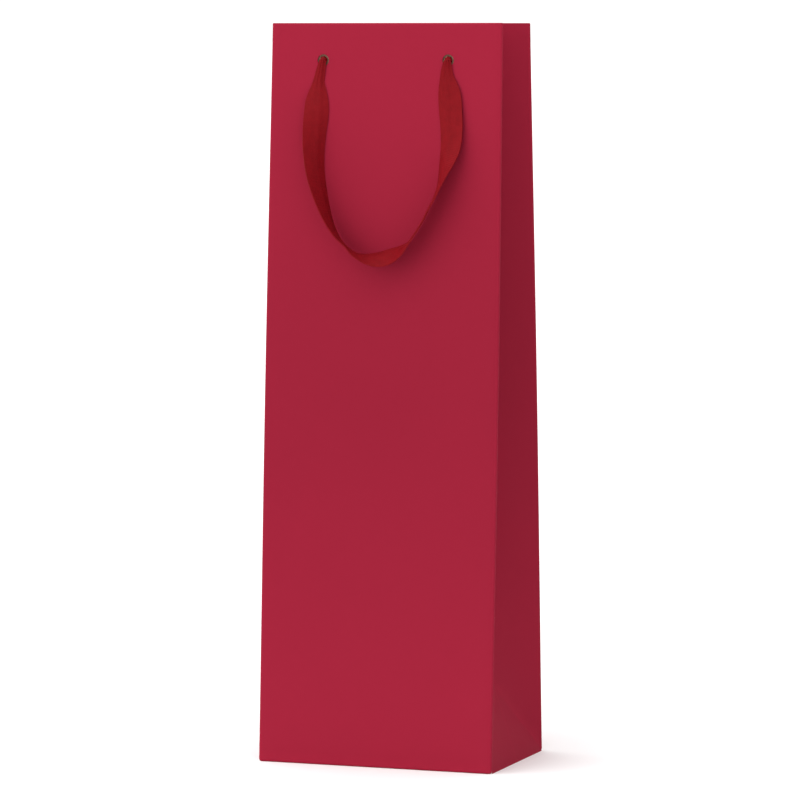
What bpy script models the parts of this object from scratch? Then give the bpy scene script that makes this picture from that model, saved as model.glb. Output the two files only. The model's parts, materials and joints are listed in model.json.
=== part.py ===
"""Paper bottle gift bag with two ribbon handles, standing half open.

Frame: metres, +Z up, origin on the floor under the middle of the base. The front wall
faces -Y and the bag is widest along X. The walls lean in towards the rim, and each side
gusset folds in on three creases: a foot triangle and two long halves above it.
"""
import math

import bmesh
import bpy
from mathutils import Matrix, Vector

MM = 0.001

# Bag body
BAG_WIDTH = 120 * MM  # across the front, at the base
RIM_WIDTH = 118 * MM  # across the front, at the rim
BAG_DEPTH = 80 * MM  # front to back at the base, and the flat width of a gusset
BAG_HEIGHT = 360 * MM  # along a wall, from the base crease to the rim
RIM_DEPTH = 44 * MM  # front to back between the two rims
PAPER = 0.4 * MM  # laminated paper
GAP = 0.3 * MM  # between pieces that lie on each other

# Turned-in top and its stiffener
HEM_DEPTH = 40 * MM
STIFFENER = 1.0 * MM  # greyboard thickness
STIFFENER_DROP = 1.0 * MM  # below the rim
STIFFENER_HEIGHT = 36 * MM
HEM_END_CLEARANCE = 7.0 * MM  # hem and stiffener stop short of the folded gusset
SEAM_WIDTH = 15 * MM  # glued overlap that closes the sheet into a tube
SEAM_CLEARANCE = 3.5 * MM  # from the corner crease
SEAM_FOOT = 4.0 * MM  # from the base to the seam's lower end
FOOT_CLEARANCE = 2.0 * MM  # between a gusset's foot triangle and its long halves
FOOT_END_CLEARANCE = 1.6 * MM  # from each end of a foot triangle to its wall
FOOT_PAPER = 0.2 * MM  # a foot triangle is drawn at half thickness, clear of both halves

# Base
OUTER_FLAP_DEPTH = 54 * MM
INNER_FLAP_DEPTH = 52 * MM
END_FLAP_LENGTH = 36 * MM
END_FLAP_TIP = 8 * MM
FLAP_MARGIN = 1.4 * MM  # flaps stop short of the creases
BASE_CARD = 1.0 * MM
BASE_CARD_END_CLEARANCE = 3.0 * MM  # to each foot triangle
BASE_CARD_SIDE_CLEARANCE = 1.8 * MM  # to each wall

# Handles
HOLE_SPACING = 64 * MM
HOLE_DROP = 18 * MM  # from the rim to the hole's centre
PAPER_HOLE = 5.8 * MM  # punched in the panel and the hem
BOARD_HOLE = 3.8 * MM  # smaller, so a ring of greyboard shows inside the paper's hole
CUTTER_LENGTH = 20 * MM
RIBBON_WIDTH = 12 * MM
RIBBON = 0.8 * MM  # ribbon thickness
RIBBON_CLEARANCE = 0.7 * MM  # from the wall to the ribbon's nearer edge
SWING_OUT = 1.2 * MM  # the handle's axis stands this far outside the wall
DROOP = 0.05  # the ribbon's middle nears the wall by this share of its way down
NECK_DIAMETER = 3.2 * MM  # the bunched ribbon in its hole
KNOT_DIAMETER = 9.0 * MM
KNOT_THICKNESS = 4.6 * MM

GUSSET_ROWS = 10
GUSSET_SHARES = (0, 0.14, 0.42, 0.7, 0.97, 1)  # across a gusset half, fold to crease
HOLE_SIDES = 24
KNOT_SIDES = 16
KNOT_STEPS = 6  # from a knot's neck over its swell
RIBBON_STEPS = 3  # sections between two route points

# Each point of a handle: across from the wall's middle, down from the hole line, the
# turn of the ribbon's width (180 lies flat on the wall, 90 stands out from it), and the
# share of its full width that it is opened to. All in mm and degrees.
HANDLE_ROUTE = (
    (-32.0, 0.0, 180, 0.30),
    (-33.2, 6.0, 180, 0.42),
    (-34.0, 10.5, 178, 0.50),
    (-34.2, 15.0, 174, 0.74),
    (-34.3, 20.0, 168, 0.94),
    (-34.1, 26.0, 158, 1.0),
    (-34.2, 36.0, 140, 1.0),
    (-33.9, 45.0, 128, 1.0),
    (-32.6, 55.0, 118, 1.0),
    (-29.6, 66.0, 106, 1.0),
    (-25.2, 77.5, 92, 1.0),
    (-20.5, 85.4, 84, 1.0),
    (-15.0, 90.6, 82, 1.0),
    (-9.5, 93.9, 98, 1.0),
    (-1.4, 95.5, 124, 1.0),
    (5.1, 94.4, 132, 1.0),
    (11.4, 91.3, 120, 1.0),
    (15.8, 87.2, 108, 1.0),
    (21.2, 79.2, 106, 1.0),
    (25.2, 71.6, 107, 1.0),
    (28.5, 65.1, 110, 1.0),
    (31.6, 55.3, 126, 1.0),
    (34.6, 43.0, 158, 1.0),
    (34.8, 33.0, 170, 1.0),
    (34.0, 24.0, 175, 1.0),
    (33.3, 17.0, 177, 0.97),
    (32.4, 12.0, 178, 0.80),
    (31.7, 8.0, 178, 0.60),
    (31.6, 4.0, 178, 0.46),
    (32.0, 0.0, 180, 0.30),
)

LEAN = math.asin((BAG_DEPTH - RIM_DEPTH) / 2 / BAG_HEIGHT)
GUSSET_HALF = BAG_DEPTH / 2
HEM_OFFSET = PAPER + GAP + STIFFENER + GAP  # from a wall's outer face to its hem


def clear_scene():
    """Removes whatever the file opened with."""
    for old in list(bpy.data.objects):
        bpy.data.objects.remove(old, do_unlink=True)


def linear(hex_colour):
    """Turns an sRGB hex colour into linear red, green, blue and alpha."""
    parts = [int(hex_colour[i : i + 2], 16) / 255 for i in (1, 3, 5)]
    toe = [c / 12.92 if c <= 0.04045 else ((c + 0.055) / 1.055) ** 2.4 for c in parts]
    return (*toe, 1.0)


def finish(name, colour, roughness):
    """One plain Principled material."""
    material = bpy.data.materials.new(name)
    material.use_nodes = True
    shader = material.node_tree.nodes["Principled BSDF"]
    shader.inputs["Base Color"].default_value = linear(colour)
    shader.inputs["Roughness"].default_value = roughness
    shader.inputs["Metallic"].default_value = 0.0
    return material


def add_piece(name, mesh_builder, material, parent=None):
    """Makes one named object from a bmesh, on its parent empty."""
    mesh = bpy.data.meshes.new(name)
    mesh_builder.normal_update()
    mesh_builder.to_mesh(mesh)
    mesh_builder.free()
    piece = bpy.data.objects.new(name, mesh)
    piece.data.materials.append(material)
    piece.parent = parent
    bpy.context.collection.objects.link(piece)
    return piece


def add_axis(name, place, turn, parent=None):
    """An empty that stands on a crease or a pivot."""
    empty = bpy.data.objects.new(name, None)
    empty.location = place
    empty.rotation_euler = turn
    empty.parent = parent
    bpy.context.collection.objects.link(empty)
    return empty


def extruded(outline, thickness, normal):
    """A flat outline, made into a plate along its normal."""
    sheet = bmesh.new()
    face = sheet.faces.new([sheet.verts.new(point) for point in outline])
    grown = bmesh.ops.extrude_face_region(sheet, geom=[face])
    moved = [v for v in grown["geom"] if isinstance(v, bmesh.types.BMVert)]
    bmesh.ops.translate(sheet, verts=moved, vec=Vector(normal) * thickness)
    bmesh.ops.recalc_face_normals(sheet, faces=sheet.faces)
    return sheet


def wall_plate(bottom, top, bottom_half, top_half, offset, thickness):
    """A plate parallel to a wall, in the wall's own frame (+Y is into the bag)."""
    outline = (
        (-bottom_half, offset, bottom),
        (bottom_half, offset, bottom),
        (top_half, offset, top),
        (-top_half, offset, top),
    )
    return extruded(outline, thickness, (0, 1, 0))


def half_width(up):
    """Half the wall's width at a distance up the wall."""
    return (BAG_WIDTH + (RIM_WIDTH - BAG_WIDTH) * up / BAG_HEIGHT) / 2


def hole_cutter(wall, side, diameter, name):
    """A hidden rod through one handle hole."""
    rod = bmesh.new()
    bmesh.ops.create_cone(
        rod,
        cap_ends=True,
        segments=HOLE_SIDES,
        radius1=diameter / 2,
        radius2=diameter / 2,
        depth=CUTTER_LENGTH,
        matrix=Matrix.Rotation(math.pi / 2, 4, "X"),
    )
    mesh = bpy.data.meshes.new(name)
    rod.to_mesh(mesh)
    rod.free()
    cutter = bpy.data.objects.new(name, mesh)
    cutter.location = (side * HOLE_SPACING / 2, 0, BAG_HEIGHT - HOLE_DROP)
    cutter.parent = wall
    cutter.hide_render = True
    cutter.display_type = "WIRE"
    bpy.context.collection.objects.link(cutter)
    return cutter


def punch(piece, cutters):
    """Cuts both handle holes through a piece."""
    for cutter in cutters:
        cut = piece.modifiers.new(cutter.name, "BOOLEAN")
        cut.operation = "DIFFERENCE"
        cut.solver = "EXACT"
        cut.object = cutter


def knot(wall, side, name, material):
    """The knotted end of a ribbon: a neck through the hole and a flat knot inside."""
    inner_face = HEM_OFFSET + PAPER
    neck_radius = NECK_DIAMETER / 2
    knot_start = inner_face + GAP
    profile = [(0, -GAP), (neck_radius, -GAP), (neck_radius, knot_start)]
    for step in range(1, KNOT_STEPS):
        angle = math.pi * step / KNOT_STEPS
        swell = neck_radius + (KNOT_DIAMETER / 2 - neck_radius) * math.sin(angle)
        depth = knot_start + KNOT_THICKNESS * (1 - math.cos(angle)) / 2
        profile.append((swell, depth))
    profile.append((neck_radius, knot_start + KNOT_THICKNESS))
    profile.append((0, knot_start + KNOT_THICKNESS))
    turned = bmesh.new()
    points = [turned.verts.new((radius, depth, 0)) for radius, depth in profile]
    edges = [turned.edges.new(pair) for pair in zip(points, points[1:])]
    bmesh.ops.spin(
        turned,
        geom=points + edges,
        cent=(0, 0, 0),
        axis=(0, 1, 0),
        angle=2 * math.pi,
        steps=KNOT_SIDES,
        use_merge=True,
    )
    bmesh.ops.remove_doubles(turned, verts=turned.verts, dist=GAP / 10)
    bmesh.ops.recalc_face_normals(turned, faces=turned.faces)
    place = (side * HOLE_SPACING / 2, 0, BAG_HEIGHT - HOLE_DROP)
    bmesh.ops.translate(turned, verts=turned.verts, vec=place)
    piece = add_piece(name, turned, material, wall)
    piece.data.shade_smooth()
    return piece


def catmull(a, b, c, d, t):
    """One value between b and c on a smooth curve through four values."""
    return 0.5 * (
        2 * b + (c - a) * t + (2 * a - 5 * b + 4 * c - d) * t**2 + (3 * b - a - 3 * c + d) * t**3
    )


def smooth_route(route, steps):
    """The route's points with evenly placed points between them."""
    padded = [route[0], *route, route[-1]]
    found = []
    for index in range(len(route) - 1):
        four = padded[index : index + 4]
        for step in range(steps):
            t = step / steps
            found.append([catmull(*values, t) for values in zip(*four)])
    found.append(list(route[-1]))
    return found


def ribbon_section(here, tangent):
    """Four corners of the ribbon at one point, in the handle axis's frame."""
    across, down, turn, opened = here
    out = Vector((0, -1, 0))
    inside = out.cross(tangent).normalized()
    angle = math.radians(turn)
    wide = inside * math.cos(angle) + out * math.sin(angle)
    thick = tangent.cross(wide).normalized()
    half = RIBBON_WIDTH * opened / 2
    stand = max(RIBBON_CLEARANCE + half * math.sin(angle), SWING_OUT - down * MM * DROOP)
    centre = Vector((across * MM, SWING_OUT - stand, -down * MM))
    signs = ((-1, -1), (1, -1), (1, 1), (-1, 1))
    return [centre + wide * half * i + thick * RIBBON / 2 * j for i, j in signs]


def ribbon_loop(axis, name, material):
    """The free ribbon between the two holes, one closed band."""
    points = smooth_route(HANDLE_ROUTE, RIBBON_STEPS)
    band = bmesh.new()
    rings = []
    for index, here in enumerate(points):
        before = points[max(index - 1, 0)]
        after = points[min(index + 1, len(points) - 1)]
        tangent = Vector((after[0] - before[0], 0, before[1] - after[1])).normalized()
        rings.append([band.verts.new(corner) for corner in ribbon_section(here, tangent)])
    for ring, following in zip(rings, rings[1:]):
        for side in range(4):
            nearby = (side + 1) % 4
            band.faces.new((ring[side], ring[nearby], following[nearby], following[side]))
    band.faces.new(rings[0])
    band.faces.new(rings[-1])
    bmesh.ops.recalc_face_normals(band, faces=band.faces)
    return add_piece(name, band, material, axis)


def fold_depth(height):
    """Half the distance between a gusset's front and back corner folds."""
    return BAG_DEPTH / 2 - height * math.tan(LEAN) - 2 * PAPER - GAP


def crease_depth(height):
    """How far a gusset's middle crease lies in from its corner folds."""
    half = BAG_DEPTH / 2 - height * math.tan(LEAN)
    return math.sqrt(max(GUSSET_HALF**2 - half**2, 0))


def apex_height():
    """Height of the point where a gusset's three creases meet."""
    fold = math.acos((1 - math.sin(LEAN)) / math.cos(LEAN))
    return GUSSET_HALF * (math.cos(LEAN) - math.cos(fold) * math.sin(LEAN))


def gusset_point(side, front, offset, share, rise):
    """A point of a gusset half: share 0 at the corner fold, 1 at the middle crease."""
    top = BAG_HEIGHT * math.cos(LEAN)
    fold_foot = FOOT_CLEARANCE
    crease_foot = apex_height() + FOOT_CLEARANCE
    fold_height = fold_foot + (top - fold_foot) * rise
    crease_height = crease_foot + (top - crease_foot) * rise
    fold = Vector((half_width(fold_height) - PAPER, fold_depth(fold_height), fold_height))
    crease_x = half_width(crease_height) - crease_depth(crease_height)
    crease = Vector((crease_x, GAP, crease_height))
    inward = Vector((crease.y - fold.y, fold.x - crease.x, 0)).normalized()
    point = fold.lerp(crease, share) + inward * offset
    return Vector((side * point.x, front * point.y, point.z))


def gusset_sheet(side, front, shares, rises, offset):
    """A ruled sheet of one gusset half, one paper thick."""
    sheet = bmesh.new()
    for layer in (offset - PAPER / 2, offset + PAPER / 2):
        rows = []
        for rise in rises:
            points = [gusset_point(side, front, layer, share, rise) for share in shares]
            rows.append([sheet.verts.new(point) for point in points])
        for low, high in zip(rows, rows[1:]):
            for a, b, c, d in zip(low, low[1:], high[1:], high):
                sheet.faces.new((a, b, c, d))
    rims = [edge for edge in sheet.edges if edge.is_boundary]
    bmesh.ops.bridge_loops(sheet, edges=rims)
    bmesh.ops.recalc_face_normals(sheet, faces=sheet.faces)
    return sheet


def make_wall(word, facing, paper, board, ribbon):
    """Front or back wall: panel, stiffener, hem, knots and handle."""
    turned = 0 if facing < 0 else math.pi
    wall = add_axis(f"{word}_wall_crease", (0, facing * BAG_DEPTH / 2, 0), (-LEAN, 0, turned))
    paper_cut = [hole_cutter(wall, i, PAPER_HOLE, f"{word}_paper_cut_{i}") for i in (-1, 1)]
    board_cut = [hole_cutter(wall, i, BOARD_HOLE, f"{word}_board_cut_{i}") for i in (-1, 1)]
    panel = wall_plate(GAP, BAG_HEIGHT, half_width(0), half_width(BAG_HEIGHT), 0, PAPER)
    punch(add_piece(f"{word}_panel", panel, paper, wall), paper_cut)
    reach = RIM_WIDTH / 2 - HEM_END_CLEARANCE
    board_top = BAG_HEIGHT - STIFFENER_DROP
    card = wall_plate(
        board_top - STIFFENER_HEIGHT, board_top, reach, reach, PAPER + GAP, STIFFENER
    )
    punch(add_piece(f"{word}_stiffener", card, board, wall), board_cut)
    hem = wall_plate(BAG_HEIGHT - HEM_DEPTH, BAG_HEIGHT, reach, reach, HEM_OFFSET, PAPER)
    punch(add_piece(f"{word}_top_hem", hem, paper, wall), paper_cut)
    for side, hand in ((-1, "left"), (1, "right")):
        seen_hand = hand if facing < 0 else {"left": "right", "right": "left"}[hand]
        knot(wall, side, f"{word}_{seen_hand}_knot", ribbon)
    axis = add_axis(f"{word}_handle_axis", (0, -SWING_OUT, BAG_HEIGHT - HOLE_DROP), (0, 0, 0), wall)
    ribbon_loop(axis, f"{word}_ribbon_loop", ribbon)
    return wall


def make_seam(wall, paper):
    """The glued flap that joins the sheet's two ends, inside the back wall."""
    right = half_width(0) - SEAM_CLEARANCE
    top_right = half_width(BAG_HEIGHT) - SEAM_CLEARANCE
    top = BAG_HEIGHT - HEM_DEPTH - 2 * GAP
    inner = PAPER + GAP
    outline = (
        (right - SEAM_WIDTH, inner, SEAM_FOOT),
        (right, inner, SEAM_FOOT),
        (top_right, inner, top),
        (top_right - SEAM_WIDTH, inner, top),
    )
    add_piece("glue_seam_flap", extruded(outline, PAPER, (0, 1, 0)), paper, wall)


def make_gussets(paper):
    """Both side gussets: foot triangle, front and back halves, and their turned-in tops."""
    hem_start = 1 - HEM_DEPTH / (BAG_HEIGHT - apex_height())
    rises = [hem_start * row / GUSSET_ROWS for row in range(GUSSET_ROWS)]
    top_rises = [hem_start, (1 + hem_start) / 2, 1]
    for side, hand in ((-1, "left"), (1, "right")):
        foot_top = apex_height() - GAP
        foot_half = GUSSET_HALF - FOOT_END_CLEARANCE
        lean_in = crease_depth(apex_height()) * foot_top / apex_height()
        edge = BAG_WIDTH / 2 - PAPER
        outline = (
            (side * edge, -foot_half, GAP),
            (side * edge, foot_half, GAP),
            (side * (edge - lean_in), 0, foot_top),
        )
        normal = Vector((-side * foot_top, 0, -lean_in)).normalized()
        foot = extruded(outline, FOOT_PAPER, normal)
        add_piece(f"{hand}_gusset_foot", foot, paper)
        for front, word in ((-1, "front"), (1, "back")):
            half = gusset_sheet(side, front, GUSSET_SHARES, rises + top_rises, 0)
            add_piece(f"{hand}_gusset_{word}", half, paper)
            hem = gusset_sheet(side, front, GUSSET_SHARES[1:-1], top_rises, PAPER + GAP)
            add_piece(f"{hand}_gusset_{word}_hem", hem, paper)


def make_base(paper, board):
    """Folded base flaps and the loose card that stiffens them."""
    edge_x = BAG_WIDTH / 2 - FLAP_MARGIN
    edge_y = BAG_DEPTH / 2 - FLAP_MARGIN
    level = PAPER + GAP
    outer = (
        (-edge_x, edge_y - OUTER_FLAP_DEPTH, 0),
        (edge_x, edge_y - OUTER_FLAP_DEPTH, 0),
        (edge_x, edge_y, 0),
        (-edge_x, edge_y, 0),
    )
    add_piece("outer_base_flap", extruded(outer, PAPER, (0, 0, 1)), paper)
    inner = (
        (-edge_x, -edge_y, level),
        (edge_x, -edge_y, level),
        (edge_x, INNER_FLAP_DEPTH - edge_y, level),
        (-edge_x, INNER_FLAP_DEPTH - edge_y, level),
    )
    add_piece("inner_base_flap", extruded(inner, PAPER, (0, 0, 1)), paper)
    for side, hand in ((-1, "left"), (1, "right")):
        tip = edge_x - END_FLAP_LENGTH
        outline = (
            (side * edge_x, -edge_y, 2 * level),
            (side * edge_x, edge_y, 2 * level),
            (side * tip, END_FLAP_TIP / 2, 2 * level),
            (side * tip, -END_FLAP_TIP / 2, 2 * level),
        )
        add_piece(f"{hand}_end_flap", extruded(outline, PAPER, (0, 0, 1)), paper)
    card_x = BAG_WIDTH / 2 - BASE_CARD_END_CLEARANCE
    card_y = BAG_DEPTH / 2 - BASE_CARD_SIDE_CLEARANCE
    rest = 3 * level
    card = (
        (-card_x, -card_y, rest),
        (card_x, -card_y, rest),
        (card_x, card_y, rest),
        (-card_x, card_y, rest),
    )
    add_piece("base_card", extruded(card, BASE_CARD, (0, 0, 1)), board)


def main():
    clear_scene()
    paper = finish("red_laminated_paper", "#A62A3E", 0.5)
    board = finish("greyboard", "#8A8074", 0.9)
    ribbon = finish("dark_red_ribbon", "#86161C", 0.6)
    make_base(paper, board)
    make_gussets(paper)
    make_wall("front", -1, paper, board, ribbon)
    back = make_wall("back", 1, paper, board, ribbon)
    make_seam(back, paper)


if __name__ == "__main__":
    main()
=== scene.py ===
"""Visual model of a red paper bottle bag with ribbon handles, laid out as a Blender add-on.

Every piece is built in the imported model's frame: metres, +Z up, the front wall towards -Y.
The back half of the bag is the front half turned by 180 degrees about Z.
"""
import json
import math

import bmesh
import bpy
from bpy.props import FloatProperty, FloatVectorProperty, PointerProperty
from mathutils import Matrix, Vector, noise


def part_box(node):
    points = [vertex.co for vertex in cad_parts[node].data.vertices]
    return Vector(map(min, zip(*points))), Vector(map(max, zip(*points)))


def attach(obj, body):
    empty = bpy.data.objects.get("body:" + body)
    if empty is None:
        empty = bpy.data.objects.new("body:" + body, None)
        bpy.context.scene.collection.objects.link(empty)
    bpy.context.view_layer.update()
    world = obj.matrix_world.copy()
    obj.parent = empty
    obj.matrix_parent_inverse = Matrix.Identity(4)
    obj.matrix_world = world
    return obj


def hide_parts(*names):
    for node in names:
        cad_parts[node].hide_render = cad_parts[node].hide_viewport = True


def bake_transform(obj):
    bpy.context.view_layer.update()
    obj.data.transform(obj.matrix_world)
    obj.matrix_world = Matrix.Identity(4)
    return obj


bl_info = {
    "name": "Paper Gift Bag",
    "version": (1, 0, 0),
    "blender": (4, 5, 0),
    "location": "View3D > Sidebar > Gift Bag",
    "description": "Builds a gusseted paper bottle bag with knotted ribbon handles",
    "category": "Object",
}

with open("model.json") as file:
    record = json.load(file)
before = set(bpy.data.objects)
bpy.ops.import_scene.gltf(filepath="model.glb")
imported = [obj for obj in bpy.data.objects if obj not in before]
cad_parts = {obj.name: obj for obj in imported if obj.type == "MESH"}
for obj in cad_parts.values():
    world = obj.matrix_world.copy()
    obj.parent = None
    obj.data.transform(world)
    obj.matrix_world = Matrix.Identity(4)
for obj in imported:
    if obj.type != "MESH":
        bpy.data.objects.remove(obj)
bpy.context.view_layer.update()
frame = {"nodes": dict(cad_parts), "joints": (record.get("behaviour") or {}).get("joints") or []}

MM = 0.001
SHARP_TURN = math.radians(38)  # an edge that turns further than this is shaded sharp
PANEL_LOW, PANEL_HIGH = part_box("front_panel")
HALF_WIDTH = PANEL_HIGH.x
HALF_DEPTH = -PANEL_LOW.y
RIM = PANEL_HIGH.z
SOLID_PAPER = 0.4 * MM  # the paper's thickness in the solids
RIM_HALF_DEPTH = SOLID_PAPER - PANEL_HIGH.y
SLOPE = (HALF_DEPTH - RIM_HALF_DEPTH) / RIM  # how far a wall leans in for each metre up
LEAN = math.atan(SLOPE)
FOOT_FOLD = math.acos((1 - math.sin(LEAN)) / math.cos(LEAN))  # turn of a gusset's foot creases
SWING = next(joint for joint in frame["joints"] if joint["name"] == "front_handle_swing")
SWING_AXIS = Vector(SWING["pos_m"])
BACK = Matrix.Rotation(math.pi, 4, "Z")

# Each point of a handle: across from the wall's middle, down from the hole line, the
# turn of the ribbon's width (180 lies flat on the wall, 90 stands out from it), and the
# share of its full width that it is opened to. All in mm and degrees.
HANDLE_ROUTE = (
    (-32.0, 0.0, 180, 0.30),
    (-33.2, 6.0, 180, 0.42),
    (-34.0, 10.5, 178, 0.50),
    (-34.2, 15.0, 174, 0.74),
    (-34.3, 20.0, 168, 0.94),
    (-34.1, 26.0, 158, 1.0),
    (-34.2, 36.0, 140, 1.0),
    (-33.9, 45.0, 128, 1.0),
    (-32.6, 55.0, 118, 1.0),
    (-29.6, 66.0, 106, 1.0),
    (-25.2, 77.5, 92, 1.0),
    (-20.5, 85.4, 84, 1.0),
    (-15.0, 90.6, 82, 1.0),
    (-9.5, 93.9, 98, 1.0),
    (-1.4, 95.5, 124, 1.0),
    (5.1, 94.4, 132, 1.0),
    (11.4, 91.3, 120, 1.0),
    (15.8, 87.2, 108, 1.0),
    (21.2, 79.2, 106, 1.0),
    (25.2, 71.6, 107, 1.0),
    (28.5, 65.1, 110, 1.0),
    (31.6, 55.3, 126, 1.0),
    (34.6, 43.0, 158, 1.0),
    (34.8, 33.0, 170, 1.0),
    (34.0, 24.0, 175, 1.0),
    (33.3, 17.0, 177, 0.97),
    (32.4, 12.0, 178, 0.80),
    (31.7, 8.0, 178, 0.60),
    (31.6, 4.0, 178, 0.46),
    (32.0, 0.0, 180, 0.30),
)
HANDLE_LENGTH = 223 * MM  # the free band between its two holes, along its middle


def linear(hex_colour):
    """Turns an sRGB hex colour into linear red, green and blue."""
    parts = [int(hex_colour[i : i + 2], 16) / 255 for i in (1, 3, 5)]
    return [c / 12.92 if c <= 0.04045 else ((c + 0.055) / 1.055) ** 2.4 for c in parts]


def length(name, description, default):
    """A length that a user can set."""
    return FloatProperty(
        name=name, description=description, default=default, min=0.0, unit="LENGTH", precision=5
    )


def colour(name, description, hex_colour):
    """A colour that a user can set."""
    return FloatVectorProperty(
        name=name, description=description, subtype="COLOR", size=3, default=linear(hex_colour)
    )


def angle_setting(name, description, degrees):
    """An angle that a user can set."""
    return FloatProperty(
        name=name, description=description, default=math.radians(degrees), subtype="ANGLE"
    )


def strength_setting(name, description, default):
    """A light's strength that a user can set."""
    return FloatProperty(
        name=name, description=description, default=default, min=0.0, subtype="UNSIGNED"
    )


class GiftBagSizes(bpy.types.PropertyGroup):
    """Sizes of the paper, its folds, the holes and the ribbon."""

    paper: length("Paper", "Thickness of the laminated paper", 0.3 * MM)
    rim_width: length("Rim width", "Width of a wall at the rim", 118 * MM)
    fold_radius: length("Fold radius", "Outer radius of a pressed crease", 1.3 * MM)
    hem_depth: length("Hem depth", "Depth of the turned-in top", 40 * MM)
    rim_stack: length("Rim stack", "Paper, board and hem together at the rim", 2.3 * MM)
    gusset_stack: length("Gusset stack", "Both papers together at a gusset's rim", 0.9 * MM)
    corner_bow: length("Corner bow", "How far a corner crease bows outwards", 0.5 * MM)
    waviness: length("Waviness", "Height of the paper's slow waves", 0.28 * MM)
    paper_hole: length("Paper hole", "Diameter of the hole in the paper", 5.8 * MM)
    hole_spacing: length("Hole spacing", "Distance between a wall's two holes", 64 * MM)
    neck: length("Neck", "Diameter of the bunched ribbon in its hole", 3.7 * MM)
    ribbon_width: length("Ribbon width", "Full width of the ribbon", 12 * MM)
    ribbon: length("Ribbon", "Thickness of the ribbon", 0.45 * MM)
    ribbon_stand: length("Ribbon stand", "Gap between the ribbon and its wall", 0.7 * MM)
    ribbon_cup: length("Ribbon cup", "How deep the ribbon curls across its width", 1.1 * MM)
    knot: length("Knot", "Width of the knot inside the bag", 9.0 * MM)


class GiftBagColours(bpy.types.PropertyGroup):
    """Colours of the papers, boards and ribbon."""

    paper_red: colour("Paper", "Printed and laminated outside", "#911E33")
    paper_back: colour("Paper back", "Uncoated inside of the paper", "#E8E3DA")
    greyboard: colour("Greyboard", "Stiffener under the hem", "#8A6654")
    base_card: colour("Base card", "White-faced card in the base", "#E4E1DA")
    ribbon_red: colour("Ribbon", "Woven handle", "#7A0E16")
    floor: colour("Floor", "Plain pale floor", "#FAFAFA")


class GiftBagStage(bpy.types.PropertyGroup):
    """Camera and light."""

    azimuth: angle_setting("Azimuth", "Camera's turn to the bag's right", 19.87)
    elevation: angle_setting("Elevation", "Camera's height above the aim point", 4.54)
    distance: length("Distance", "Camera to the aim point", 2.236)
    aim_height: length("Aim height", "Height that the camera looks at", 0.1757)
    aim_left: length("Aim left", "How far left of the bag's middle the camera aims", 0.75 * MM)
    lens: FloatProperty(
        name="Lens", description="Focal length in mm", default=205.6, unit="CAMERA"
    )
    key: strength_setting("Key", "Light from the front left", 0.85)
    key_softness: angle_setting("Key softness", "Angle that the key light covers", 65)
    top: strength_setting("Top", "Light from above", 1.7)
    top_softness: angle_setting("Top softness", "Angle that the top light covers", 70)
    backdrop: strength_setting("Backdrop", "White backdrop behind the bag", 1.1)
    room_left: strength_setting("Room, left", "Room's light from the left", 1.0)
    room_right: strength_setting("Room, right", "Room's light from the right", 0.52)


def sizes():
    """The sizes set in the scene."""
    return bpy.context.scene.gift_bag_sizes


def colours():
    """The colours set in the scene."""
    return bpy.context.scene.gift_bag_colours


# Materials


def add_node(tree, kind, inputs=None, **settings):
    """Adds one node, sets its options, and sets or links its inputs."""
    node = tree.nodes.new(kind)
    for name, value in settings.items():
        setattr(node, name, value)
    for name, value in (inputs or {}).items():
        if isinstance(value, bpy.types.NodeSocket):
            tree.links.new(value, node.inputs[name])
        else:
            node.inputs[name].default_value = value
    return node


def new_material(name):
    """A named material with its shader node, ready for more nodes."""
    material = bpy.data.materials.new(name)
    material.use_nodes = True
    return material, material.node_tree, material.node_tree.nodes["Principled BSDF"]


def shaded(rgb, factor):
    """A colour made lighter or darker, with alpha."""
    return [min(c * factor, 1.0) for c in rgb] + [1.0]


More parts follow.
